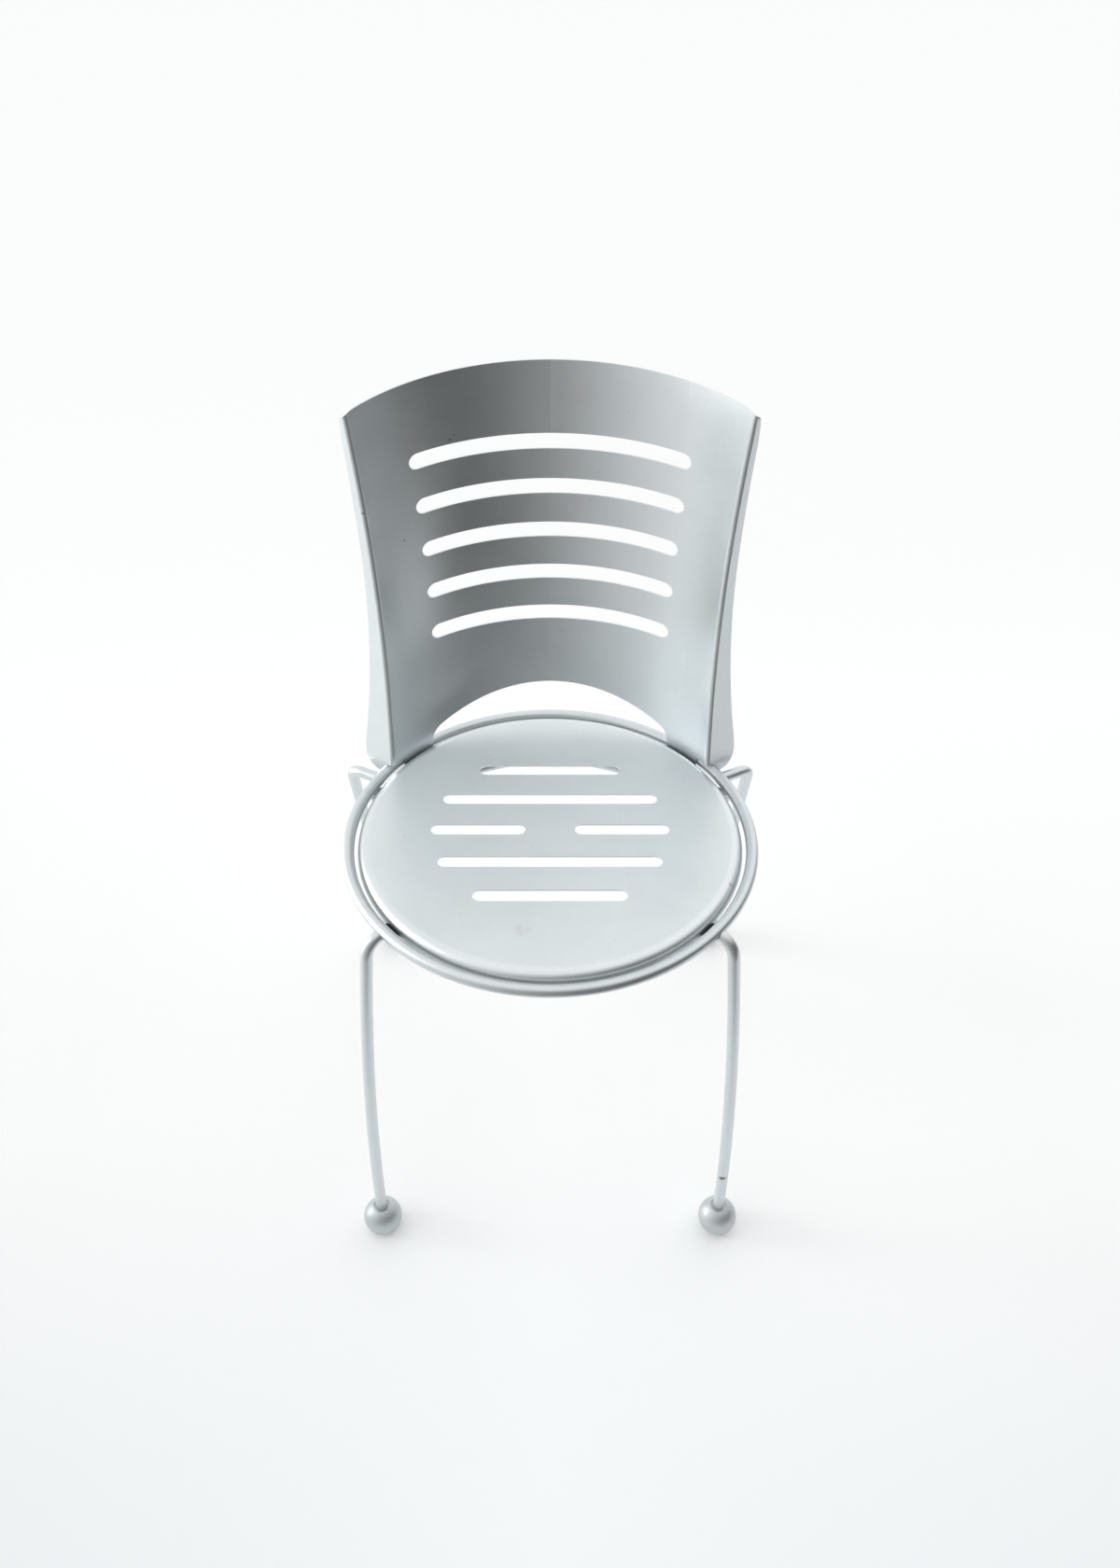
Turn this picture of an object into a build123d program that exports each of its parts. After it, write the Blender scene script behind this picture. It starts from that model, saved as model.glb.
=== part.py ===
from build123d import *

import os
from math import acos, cos, radians, sin, sqrt, tan

# Round-seat terrace chair: a ring and legs of bent rod on ball feet, a pressed seat pan on
# rubber pads, and a slotted back wrapped out of one sheet. Millimetres, +Z up, the front of
# the chair toward -Y. The pieces are drawn about the ring's centre and moved at the end, so
# that the origin lies on the floor under the middle of the chair's overall box.

# Rod frame
ROD = 12.0  # diameter of every frame rod
RING_RADIUS = 200.0  # ring, to the middle of the rod
RING_HEIGHT = 452.0  # middle of the ring's rod above the floor
WELD_GAP = 0.1  # left between rods that are welded together
LEG_DROP = 3.0  # leg rods meet the ring this far below its middle

FRONT_LEG_ANGLE = 39.5  # degrees forward of straight sideways
FRONT_KNEE = 20.5  # bend radius to the middle of the rod
FRONT_SPLAY = 6.5  # degrees off plumb at the knee, plumb again at the foot

REAR_LEG_ANGLE = 27.6  # degrees back of straight sideways
REAR_KNEE = 16.0  # bend radius to the middle of the rod
REAR_REACH = 38.0  # from the ring's rod to the corner of the rear knee
REAR_FOOT_OUT = 12.0  # rear foot sideways, past the ring's rod
REAR_FOOT_BEHIND = 84.0  # rear foot backwards, past the ring's rod

# Ball feet
BALL = 42.0  # ball diameter
BALL_SIT = 18.5  # ball centre above the floor
SPIGOT_STOP = 4.0  # leg's end above the ball's centre
SPIGOT_FIT = 0.1  # between the leg and its bore, all round
SOCKET_RIM = 3.0  # width of the sunk step round the leg
SOCKET_DEPTH = 3.0  # depth of that step at the ball's crown
GLIDE = 20.0  # diameter of the glide under the ball
GLIDE_SHOWS = 1.0  # glide below the ball's flat
GLIDE_SUNK = 3.0  # glide inside the ball
GLIDE_FIT = 0.15  # between the glide and its recess, all round

# Seat pan
PAN_SHEET = 1.5  # thickness
PAN_GAP = 3.2  # between the pan's edge and the ring
PAN_RISE = 8.0  # top of the pan above the ring's middle
RIM_ROLL = 12.0  # outer radius of the rolled-down rim
SEAT_SLOT_WIDTH = 14.8
SEAT_SLOT_PITCH = 46.0
SEAT_SLOT_BACK = 2.3  # middle row behind the ring's centre
SEAT_SLOT_SHORT = 146.6  # first and last row
SEAT_SLOT_LONG = 218.2  # second and fourth row
SEAT_SLOT_SPAN = 237.2  # middle row, over both slots
SEAT_BRIDGE = 49.0  # metal left between the middle row's slots

# Seat supports
LUG_WIDTH = 20.0
LUG_THICK = 3.0
LUG_END = 11.0  # lug beyond its stud
LUG_CORNER = 9.0
BAR_INSET = 60.6  # rear bar's middle, in from the ring's rod
BAR_BEND = 166.0  # bend radius of its middle, between straight ends
BAR_ANGLE = 22.0  # where its ends lie under the ring, degrees back of straight sideways
BAR_PAST = 3.0  # bar's ends past the middle of the ring's rod
BAR_PAD_IN = 84.0  # rear pads, in from the bar's ends along it
PAD_WIDTH = 18.0
PAD_LENGTH = 24.0
PAD_LIP = 4.0  # front pad's lip, past the pan's edge
PAD_CLEAR = 0.4  # between a pad and the rolled rim

# Seat fixings
STUD = 5.0  # weld stud under the pan
STUD_INSET = 20.0  # front studs, in from the pan's edge
STUD_HOLE = 5.5
STUD_TAIL = 2.0  # stud below its nut
WASHER = 10.0
WASHER_THICK = 1.0
NUT_FLATS = 8.0
NUT_HEIGHT = 4.0
NUT_FIT = 0.1  # between the stud and its nut and washer, all round
SPOT_FACE = 1.0  # depth of the flat milled under the rear bar for its washers
SPOT_FIT = 1.0  # between that flat's edge and the washer, all round

# Back: an oblique cone of horizontal circular sections
BACK_SHEET = 2.0  # thickness
BACK_GAP = 0.2  # between the back and the inside of the ring
BACK_RISE = 381.2  # middle of the top edge above the ring's middle
BACK_DROP = 9.0  # lobes below the ring's middle
BACK_LEAN = 10.5  # degrees, at the middle of the sheet
BACK_FLARE = 19.2  # outer radius of the wrap at the top edge, over that at the ring
BACK_WRAP = 75.0  # degrees drawn each side, before the outline trims it
TOP_CROWN = 4.8  # top edge's middle above its corners
TOP_CUT = 3.0  # the corner's slope starts this far in from the fold
TOP_SLOPE = 35.5  # degrees that the corner falls by, on across the flange
TOP_CORNER = 12.0  # rounding where the slope starts
FOLD_INSET = 35.5  # fold lines at the waist, in from the ring's side
FOLD_WAIST = 34.5  # height of the waist above the ring's middle
FOLD_SWEEP = 2860.0  # radius of the fold lines seen from the front
FOLD_ROUND = 4.0  # outer radius of the folds
RELIEF_WIDE = 10.0  # relief cut at the foot of each fold
RELIEF_CLEAR = 1.5  # relief cut above the ring
LOBE_CORNER = 3.0
LOBE_WIDE = 28.6  # each lobe, between its relief cut and the arch
ARCH_RISE = 46.5
ARCH_RADIUS = 287.0
ARCH_CORNER = 16.0
BACK_SLOTS = 5
BACK_SLOT_WIDTH = 15.0
BACK_SLOT_PITCH = 44.5
BACK_SLOT_DROP = 76.7  # first slot's middle below the top edge
BACK_SLOT_MARGIN = 41.6  # metal between the first slot's end and the fold
BACK_SLOT_STEP = 0.55  # each slot's margin over that of the slot above it

# Side flanges of the back
FLANGE_ANGLE = 32.3  # degrees back of straight sideways
FLANGE_LOW = 34.6  # width near the ring
FLANGE_LOW_AT = 29.0  # height of that
FLANGE_MID = 13.0  # width where the edge runs straight
FLANGE_MID_AT = 235.0  # height of that
FLANGE_HIGH = 10.7  # width where the straight ends
FLANGE_TAPER = 40.0  # below the top edge's middle to that end
FLANGE_TIP = 5.0  # width level with the top edge's middle, where the corner's slope has cut it off
FLANGE_HANG = 2.0  # flange's foot below the ring's middle
FLANGE_CORNER = 22.0  # rounded lower corner

# Worked out from the sizes above
rod_radius = ROD / 2
pan_radius = RING_RADIUS - rod_radius - PAN_GAP
pan_under = PAN_RISE - PAN_SHEET
back_foot_radius = RING_RADIUS - rod_radius - BACK_GAP
back_corner = BACK_RISE - TOP_CROWN
relief_top = rod_radius + RELIEF_CLEAR
stud_radius = pan_radius - STUD_INSET
ball_height = BALL_SIT - RING_HEIGHT
far = 2 * RING_RADIUS  # comfortably outside the back, for cutting tools
overall_front = -RING_RADIUS - rod_radius
overall_back = RING_RADIUS + REAR_FOOT_BEHIND + BALL / 2
place = Pos(0, -(overall_front + overall_back) / 2, RING_HEIGHT)

SIDES = {"left": -1, "right": 1}


def ring_solid(extra=0.0):
    return Torus(RING_RADIUS, rod_radius + extra)


def rod_along(path):
    start = Plane(origin=path @ 0, z_dir=path % 0)
    return sweep(start * Circle(rod_radius), path=path)


def turn(side, angle):
    """Rotation that carries the +X radial plane to a leg's plane, angle counted toward the back."""
    return Rot(0, 0, angle if side > 0 else 180 - angle)


def front_leg_path():
    """Knee, long sweep and spigot in the radial plane, as seen along the plane's normal."""
    start = (RING_RADIUS, -LEG_DROP)
    knee = JernArc(start, (1, 0), FRONT_KNEE, -(90 - FRONT_SPLAY))
    ankle = ball_height + sqrt((BALL / 2) ** 2 - rod_radius ** 2)
    sweep_radius = ((knee @ 1).Y - ankle) / sin(radians(FRONT_SPLAY))
    shank = JernArc(knee @ 1, knee % 1, sweep_radius, -FRONT_SPLAY)
    spigot = Line(shank @ 1, ((shank @ 1).X, ball_height + SPIGOT_STOP))
    return knee + shank + spigot


front_path = Plane.XZ * front_leg_path()
front_foot_radius = (front_path @ 1).X


def front_foot_place(side):
    foot = turn(side, -FRONT_LEG_ANGLE) * Pos(front_foot_radius, 0, ball_height)
    return Pos(*foot.position), Vector(0, 0, 1)


def front_leg(side):
    leg = turn(side, -FRONT_LEG_ANGLE) * rod_along(front_path)
    return leg - ring_solid(WELD_GAP)


def rear_leg_points(side):
    """Ring end, knee corner and ball centre of a rear leg."""
    out = Vector(side * cos(radians(REAR_LEG_ANGLE)), sin(radians(REAR_LEG_ANGLE)), 0)
    ring_end = out * RING_RADIUS - Vector(0, 0, LEG_DROP)
    corner = out * (RING_RADIUS + REAR_REACH) - Vector(0, 0, LEG_DROP)
    foot = Vector(side * (RING_RADIUS + REAR_FOOT_OUT), RING_RADIUS + REAR_FOOT_BEHIND, ball_height)
    return ring_end, corner, foot


def rear_foot_place(side):
    _, corner, foot = rear_leg_points(side)
    return Pos(*foot), (corner - foot).normalized()


def rear_leg(side):
    ring_end, corner, foot = rear_leg_points(side)
    out = (corner - ring_end).normalized()
    down = (foot - corner).normalized()
    half_turn = radians(out.get_angle(down)) / 2
    bend_start = corner - out * REAR_KNEE * tan(half_turn)
    bend_end = corner + down * REAR_KNEE * tan(half_turn)
    stub = Line(ring_end, bend_start)
    knee = TangentArc(bend_start, bend_end, tangent=out)
    shank = Line(bend_end, foot - down * SPIGOT_STOP)
    return rod_along(stub + knee + shank) - ring_solid(WELD_GAP)


def ball_foot(axis):
    """Ball with its flat, the bore and sunk step for the leg, and the recess for the glide."""
    flat = GLIDE_SHOWS - BALL_SIT
    upright = (Align.CENTER, Align.CENTER, Align.MIN)
    ball = Sphere(BALL / 2) & Pos(0, 0, flat) * Box(BALL, BALL, BALL, align=upright)
    bore_start = Plane(origin=axis * SPIGOT_STOP, z_dir=axis)
    ball -= bore_start * Cylinder(rod_radius + SPIGOT_FIT, BALL, align=upright)
    step_start = Plane(origin=axis * (BALL / 2 - SOCKET_DEPTH), z_dir=axis)
    ball -= step_start * Cylinder(rod_radius + SOCKET_RIM, BALL, align=upright)
    ball -= Pos(0, 0, flat) * Cylinder(GLIDE / 2 + GLIDE_FIT, GLIDE_SUNK, align=upright)
    return ball


def foot_glide():
    """Puck pressed into the ball's flat, with a softened sole."""
    puck = Cylinder(GLIDE / 2, GLIDE_SUNK + GLIDE_SHOWS, align=(Align.CENTER, Align.CENTER, Align.MIN))
    puck = fillet(puck.edges().sort_by(Axis.Z)[0], GLIDE_SHOWS / 2)
    return Pos(0, 0, -BALL_SIT) * puck


def seat_pan():
    """Pressed disc with a rolled-down rim, pierced by the rows of slots."""
    roll_centre = pan_radius - RIM_ROLL
    rim_foot = PAN_RISE - RIM_ROLL
    quarter = cos(radians(45))
    inner_roll = RIM_ROLL - PAN_SHEET
    outer_mid = (roll_centre + RIM_ROLL * quarter, rim_foot + RIM_ROLL * quarter)
    inner_mid = (roll_centre + inner_roll * quarter, rim_foot + inner_roll * quarter)
    profile = Line((0, PAN_RISE), (roll_centre, PAN_RISE))
    profile += ThreePointArc((roll_centre, PAN_RISE), outer_mid, (pan_radius, rim_foot))
    profile += Line((pan_radius, rim_foot), (pan_radius - PAN_SHEET, rim_foot))
    profile += ThreePointArc((pan_radius - PAN_SHEET, rim_foot), inner_mid, (roll_centre, pan_under))
    profile += Line((roll_centre, pan_under), (0, pan_under))
    profile += Line((0, pan_under), (0, PAN_RISE))
    pan = revolve(Plane.XZ * make_face(profile), axis=Axis.Z)

    slot_rows = {2: SEAT_SLOT_SHORT, 1: SEAT_SLOT_LONG, -1: SEAT_SLOT_LONG, -2: SEAT_SLOT_SHORT}
    slots = Sketch()
    for row, length in slot_rows.items():
        slots += Pos(0, row * SEAT_SLOT_PITCH) * SlotOverall(length, SEAT_SLOT_WIDTH)
    short = (SEAT_SLOT_SPAN - SEAT_BRIDGE) / 2
    for side in SIDES.values():
        slots += Pos(side * (SEAT_BRIDGE + short) / 2, 0) * SlotOverall(short, SEAT_SLOT_WIDTH)
    return pan - extrude(Pos(0, SEAT_SLOT_BACK, PAN_RISE) * slots, -RIM_ROLL)


def front_lug(side):
    """Flat tab welded under the ring, rounded at its inner end and holed for the stud."""
    tip = stud_radius - LUG_END
    length = RING_RADIUS - WELD_GAP - tip
    tab = Pos(tip + length / 2, 0) * Rectangle(length, LUG_WIDTH)
    tab = fillet(tab.vertices().group_by(Axis.X)[0], LUG_CORNER)
    tab -= Pos(stud_radius, 0) * Circle(STUD_HOLE / 2)
    return turn(side, -FRONT_LEG_ANGLE) * extrude(Pos(0, 0, -rod_radius) * tab, -LUG_THICK)


def bar_path():
    """Rear bar's middle line, from its left end: straight, bent and straight again."""
    end_angle = radians(BAR_ANGLE)
    end_radius = RING_RADIUS + BAR_PAST
    end = Vector(end_radius * cos(end_angle), end_radius * sin(end_angle), -ROD)
    centre = Vector(0, RING_RADIUS - BAR_INSET - BAR_BEND, -ROD)
    bend_angle = radians((end - centre).get_angle(Vector(1, 0, 0))) + acos(BAR_BEND / (end - centre).length)
    bend = centre + Vector(cos(bend_angle), sin(bend_angle), 0) * BAR_BEND
    middle = centre + Vector(0, BAR_BEND, 0)
    left_end, left_bend = Vector(-end.X, end.Y, end.Z), Vector(-bend.X, bend.Y, bend.Z)
    return Line(left_end, left_bend) + ThreePointArc(left_bend, middle, bend) + Line(bend, end)


def bar_at(side):
    """Place on the rear bar's middle line under a rear pad, turned along the bar."""
    path = bar_path()
    where = path.position_at(BAR_PAD_IN, PositionMode.LENGTH)
    along = path.tangent_at(BAR_PAD_IN, PositionMode.LENGTH)
    origin = (-side * where.X, where.Y, where.Z)
    return Plane(origin=origin, x_dir=(-side * along.X, along.Y, 0), z_dir=(0, 0, 1))


def rear_bar():
    """Bowed rod under the back of the seat, drilled and spot-faced for the rear studs."""
    bar = rod_along(bar_path())
    down = (Align.CENTER, Align.CENTER, Align.MAX)
    for side in SIDES.values():
        bar -= bar_at(side) * Cylinder(STUD_HOLE / 2, 2 * ROD)
        flat = bar_at(side) * Pos(0, 0, SPOT_FACE - rod_radius)
        bar -= flat * Cylinder(WASHER / 2 + SPOT_FIT, ROD, align=down)
    return bar


def front_pad(side):
    """Rubber block on a lug: it fills the roll of the rim and ends in a lip under the pan's edge."""
    roll_centre = pan_radius - RIM_ROLL
    rim_foot = PAN_RISE - RIM_ROLL
    reach = RIM_ROLL - PAN_SHEET - PAD_CLEAR
    inner = stud_radius - PAD_WIDTH / 2
    lip_end = pan_radius + PAD_LIP
    quarter = cos(radians(45))
    roll_mid = (roll_centre + reach * quarter, rim_foot + reach * quarter)
    profile = Line((inner, -rod_radius), (lip_end, -rod_radius))
    profile += Line((lip_end, -rod_radius), (lip_end, rim_foot))
    profile += Line((lip_end, rim_foot), (roll_centre + reach, rim_foot))
    profile += ThreePointArc((roll_centre + reach, rim_foot), roll_mid, (roll_centre, rim_foot + reach))
    profile += Line((roll_centre, rim_foot + reach), (roll_centre, pan_under))
    profile += Line((roll_centre, pan_under), (inner, pan_under))
    profile += Line((inner, pan_under), (inner, -rod_radius))
    pad = extrude(Plane.XZ * make_face(profile), PAD_WIDTH / 2, both=True)
    pad -= Pos(stud_radius, 0, 0) * Cylinder(STUD_HOLE / 2, far)
    return turn(side, -FRONT_LEG_ANGLE) * pad - ring_solid(PAD_CLEAR)


def rear_pad(side):
    """Rubber block saddled over the rear bar."""
    height = pan_under + ROD
    block = Box(PAD_LENGTH, PAD_WIDTH, height, align=(Align.CENTER, Align.CENTER, Align.MIN))
    block -= Cylinder(STUD_HOLE / 2, far)
    return bar_at(side) * block - rod_along(bar_path())


def stud_places():
    """Each stud's place, with the height of the face that its washer bears on."""
    places = []
    for side in SIDES.values():
        front = turn(side, -FRONT_LEG_ANGLE) * Pos(stud_radius, 0, 0)
        places.append((Pos(front.position.X, front.position.Y, 0), -rod_radius - LUG_THICK))
        rear = bar_at(side).origin
        places.append((Pos(rear.X, rear.Y, 0), SPOT_FACE - ROD - rod_radius))
    return places


def seat_fixings():
    """Weld studs, washers and nuts, each kind as one group."""
    up = (Align.CENTER, Align.CENTER, Align.MIN)
    washer_bore = STUD / 2 + NUT_FIT
    studs, washers, nuts = [], [], []
    for where, bearing in stud_places():
        washer_foot = bearing - WASHER_THICK
        nut_foot = washer_foot - NUT_HEIGHT
        stud_foot = nut_foot - STUD_TAIL
        stud = Cylinder(STUD / 2, pan_under - stud_foot, align=up)
        washer = Cylinder(WASHER / 2, WASHER_THICK, align=up) - Cylinder(washer_bore, far)
        nut_blank = RegularPolygon(NUT_FLATS / 2, 6, major_radius=False) - Circle(washer_bore)
        studs.append(where * Pos(0, 0, stud_foot) * stud)
        washers.append(where * Pos(0, 0, washer_foot) * washer)
        nuts.append(where * Pos(0, 0, nut_foot) * extrude(nut_blank, NUT_HEIGHT))
    return Compound(children=studs), Compound(children=washers), Compound(children=nuts)


def wrap_radius(height):
    return back_foot_radius + BACK_FLARE * height / BACK_RISE


def wrap_centre(height):
    middle = back_foot_radius + height * tan(radians(BACK_LEAN))
    return middle - wrap_radius(height)


def fold_half(height):
    """Half width of the back between its fold lines, seen from the front."""
    waist = RING_RADIUS - FOLD_INSET
    return waist + FOLD_SWEEP - sqrt(FOLD_SWEEP ** 2 - (height - FOLD_WAIST) ** 2)


def fold_point(height):
    """Point of the right fold line on the back's inner face."""
    half = fold_half(height)
    inner = wrap_radius(height) - BACK_SHEET
    return Vector(half, wrap_centre(height) + sqrt(inner ** 2 - half ** 2), height)


def wrap_section(height):
    """Strip of the wrap at one height: a sector of a ring, open toward the front."""
    outer = wrap_radius(height)
    inner = outer - BACK_SHEET
    centre = (0, wrap_centre(height), height)
    first = 90 - BACK_WRAP
    outer_arc = CenterArc(centre, outer, first, 2 * BACK_WRAP)
    inner_arc = CenterArc(centre, inner, first, 2 * BACK_WRAP)
    ends = Line(outer_arc @ 0, inner_arc @ 0) + Line(outer_arc @ 1, inner_arc @ 1)
    return make_face(outer_arc + inner_arc + ends)


def wrap_core(low, high):
    """All the space on the seat's side of the wrap's inner face."""
    sections = []
    for height in (low, high):
        where = Pos(0, wrap_centre(height), height)
        sections.append(where * Circle(wrap_radius(height) - BACK_SHEET))
    return loft(sections, ruled=True)


def under_top_edge():
    """Front view of all that lies below the top edge: a crown, rounded into a slope at each corner."""
    start = fold_half(back_corner) - TOP_CUT
    slope_end = back_corner - (far - start) * tan(radians(TOP_SLOPE))
    edge = ThreePointArc((-start, back_corner), (0, BACK_RISE), (start, back_corner))
    edge += Polyline((start, back_corner), (far, slope_end), (far, -far), (-far, -far))
    edge += Polyline((-far, -far), (-far, slope_end), (-start, back_corner))
    limit = make_face(edge)
    return fillet(limit.vertices().group_by(Axis.Y)[-1], TOP_CORNER)


def back_outline():
    """Front view of the back before its top and sides are trimmed: relieved feet, slots and arch."""
    tip = fold_half(BACK_RISE)
    wide = tip + RELIEF_WIDE
    lobe = fold_half(relief_top) - RELIEF_WIDE
    edge = ThreePointArc((-tip, BACK_RISE), (0, BACK_RISE + TOP_CROWN), (tip, BACK_RISE))
    edge += Polyline((tip, BACK_RISE), (wide, BACK_RISE), (wide, relief_top), (lobe, relief_top))
    edge += Polyline((lobe, relief_top), (lobe, -BACK_DROP), (-lobe, -BACK_DROP), (-lobe, relief_top))
    edge += Polyline((-lobe, relief_top), (-wide, relief_top), (-wide, BACK_RISE), (-tip, BACK_RISE))
    outline = make_face(edge)

    arch_half = lobe - LOBE_WIDE
    shoulder = ARCH_RISE - ARCH_RADIUS + sqrt(ARCH_RADIUS ** 2 - arch_half ** 2)
    arch_edge = ThreePointArc((-arch_half, shoulder), (0, ARCH_RISE), (arch_half, shoulder))
    foot = -2 * BACK_DROP
    arch_edge += Polyline((arch_half, shoulder), (arch_half, foot), (-arch_half, foot))
    arch_edge += Line((-arch_half, foot), (-arch_half, shoulder))
    arch = make_face(arch_edge)
    arch = fillet(arch.vertices().group_by(Axis.Y)[-1], ARCH_CORNER)
    outline -= arch
    outline = fillet(outline.vertices().group_by(Axis.Y)[0], LOBE_CORNER)

    for row in range(BACK_SLOTS):
        height = BACK_RISE - BACK_SLOT_DROP - row * BACK_SLOT_PITCH
        length = 2 * (fold_half(height) - BACK_SLOT_MARGIN - row * BACK_SLOT_STEP)
        outline -= Pos(0, height) * SlotOverall(length, BACK_SLOT_WIDTH)
    return outline


def right_flange(core):
    """Flange turned out of the sheet at the right fold, and the tool that trims the sheet there."""
    out = Vector(cos(radians(FLANGE_ANGLE)), sin(radians(FLANGE_ANGLE)), 0)
    across = Vector(-out.Y, out.X, 0)
    low, high = -FLANGE_HANG, BACK_RISE
    middle = (low + high) / 2

    end_view = Plane(origin=(0, 0, 0), x_dir=across, z_dir=out)
    front = [(fold_point(height).dot(across), height) for height in (low, middle, high)]
    rear = [(x + BACK_SHEET, height) for x, height in front]
    strip = ThreePointArc(*front) + ThreePointArc(*rear)
    strip += Line(front[0], rear[0]) + Line(front[2], rear[2])
    flange = extrude(end_view * make_face(strip), far)
    ahead = front[0][0] - RING_RADIUS
    waste = ThreePointArc(*front) + Polyline(front[2], (ahead, high), (ahead, low), front[0])
    trim = extrude(end_view * make_face(waste), far)

    side_view = Plane(origin=(0, 0, 0), x_dir=out, z_dir=-across)
    widths = {FLANGE_LOW_AT: FLANGE_LOW, FLANGE_MID_AT: FLANGE_MID, high - FLANGE_TAPER: FLANGE_HIGH}
    widths[high] = FLANGE_TIP
    edge = [(fold_point(height).dot(out) + width, height) for height, width in widths.items()]
    foot = (edge[0][0], low)
    straight = Line(edge[1], edge[2])
    hem = TangentArc(edge[1], edge[0], tangent=straight % 0 * -1) + straight
    hem += TangentArc(edge[2], edge[3], tangent=straight % 1)
    hem += Line(edge[0], foot) + Polyline(foot, (0, low), (0, high), edge[3])
    outline = make_face(hem)
    outline = fillet(outline.vertices().sort_by_distance((*foot, 0))[0], FLANGE_CORNER)
    flange = flange & extrude(side_view * outline, far, both=True)

    down = (Align.CENTER, Align.CENTER, Align.MAX)
    relief = Pos(0, 0, relief_top) * Cylinder(RING_RADIUS, far, align=down)
    return flange - core - relief - ring_solid(BACK_GAP), trim


def round_fold(half, near, radius):
    """Rounds the long edge that passes nearest to a point."""
    long_edges = half.edges().filter_by(lambda edge: edge.length > BACK_RISE / 2)
    edge = min(long_edges, key=lambda edge: (edge @ 0.5 - near).length)
    return fillet(edge, radius)


def backrest():
    """Wrapped sheet and its two flanges as one bent piece: half of it is made, then mirrored."""
    low, high = -2 * BACK_DROP, BACK_RISE + 2 * TOP_CROWN
    sheet = loft([wrap_section(low), wrap_section(high)], ruled=True)
    sheet = sheet & extrude(Plane.XZ * back_outline(), far, both=True)
    flange, trim = right_flange(wrap_core(low, high))
    half = split(sheet - trim, Plane.YZ) + flange
    ridge = fold_point(back_corner / 2)
    hollow = ridge + Vector(0, FOLD_ROUND, 0)
    half = round_fold(half, ridge, FOLD_ROUND)
    half = round_fold(half, hollow, FOLD_ROUND - BACK_SHEET)
    half = half & extrude(Plane.XZ * under_top_edge(), far, both=True)
    return half + mirror(half, about=Plane.YZ)


def main():
    nodes = {"seat_ring": ring_solid(), "seat_pan": seat_pan(), "backrest": backrest()}
    nodes["rear_seat_bar"] = rear_bar()
    nodes["seat_studs"], nodes["seat_washers"], nodes["seat_nuts"] = seat_fixings()
    for name, side in SIDES.items():
        nodes[f"front_{name}_leg"] = front_leg(side)
        nodes[f"rear_{name}_leg"] = rear_leg(side)
        nodes[f"front_{name}_lug"] = front_lug(side)
        nodes[f"front_{name}_pad"] = front_pad(side)
        nodes[f"rear_{name}_pad"] = rear_pad(side)
        for end, foot_place in (("front", front_foot_place), ("rear", rear_foot_place)):
            where, axis = foot_place(side)
            nodes[f"{end}_{name}_ball_foot"] = where * ball_foot(axis)
            nodes[f"{end}_{name}_glide"] = where * foot_glide()
    os.makedirs("parts", exist_ok=True)
    for name, shape in nodes.items():
        export_step(place * shape, f"parts/{name}.step")


if __name__ == "__main__":
    main()
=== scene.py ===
import bmesh
import bpy
import math
from mathutils import Matrix, Vector


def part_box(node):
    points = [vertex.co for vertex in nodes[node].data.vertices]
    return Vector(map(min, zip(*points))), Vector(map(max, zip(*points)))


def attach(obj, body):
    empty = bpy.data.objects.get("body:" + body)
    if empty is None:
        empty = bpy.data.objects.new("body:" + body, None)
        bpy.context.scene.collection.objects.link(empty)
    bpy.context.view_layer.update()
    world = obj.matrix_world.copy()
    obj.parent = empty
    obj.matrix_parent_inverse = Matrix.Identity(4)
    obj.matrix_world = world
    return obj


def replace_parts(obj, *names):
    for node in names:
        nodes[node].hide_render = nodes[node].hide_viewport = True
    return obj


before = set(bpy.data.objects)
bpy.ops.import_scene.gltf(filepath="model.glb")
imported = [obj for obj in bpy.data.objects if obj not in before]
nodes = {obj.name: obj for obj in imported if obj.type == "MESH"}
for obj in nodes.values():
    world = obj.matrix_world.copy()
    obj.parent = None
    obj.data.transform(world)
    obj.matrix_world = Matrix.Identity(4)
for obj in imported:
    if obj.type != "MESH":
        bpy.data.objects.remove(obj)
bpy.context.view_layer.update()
bpy.ops.object.select_all(action="DESELECT")

MM = 0.001
SIDES = {"left": -1, "right": 1}
MERGE = 0.01 * MM  # points closer than this become one

# Seat ring and the rods that meet it
ring_low, ring_high = (Vector(corner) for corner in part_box("seat_ring"))
ring_middle = (ring_low + ring_high) / 2
rod_radius = (ring_high.z - ring_low.z) / 2
ring_radius = (ring_high.x - ring_low.x) / 2 - rod_radius
LEG_DROP = 3 * MM  # legs' middle below the ring's
FRONT_LEG_ANGLE = -39.5  # where the legs and the bar meet the ring, degrees back of straight sideways
REAR_LEG_ANGLE = 27.6
BAR_ANGLE = 22.0
BAR_TURN = 157.9  # way the right end of the bar runs inward, degrees round from +X
LUG_WIDTH = 20 * MM

# Welds: each run lies out or in from the middle of the ring's rod, and down from it
BEAD = 1.8 * MM  # bead's radius, and the step from one ripple to the next
BEAD_STEP = 1.8 * MM
FUSE_GRID = 0.35 * MM
EASE_PASSES = 2
SEAM_OUT = 0.3 * MM  # front leg's run, near the middle of the lug's end
SEAM_DOWN = 7.4 * MM
LUG_RUN_IN = 3.6 * MM
LUG_RUN_DOWN = 5.2 * MM
STUB_REACH = 0.95  # rear leg's run: half its width and its depth in the leg, as shares of the rod's radius
STUB_DEPTH = 0.77
STUB_IN = 0.5 * MM
BAR_RUN_DOWN = 6.9 * MM
BAR_RUN_ASIDE = 4.2 * MM  # off the bar's middle, to each side
BAR_RUN_REACH = 2.6 * MM  # half of its length

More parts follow.
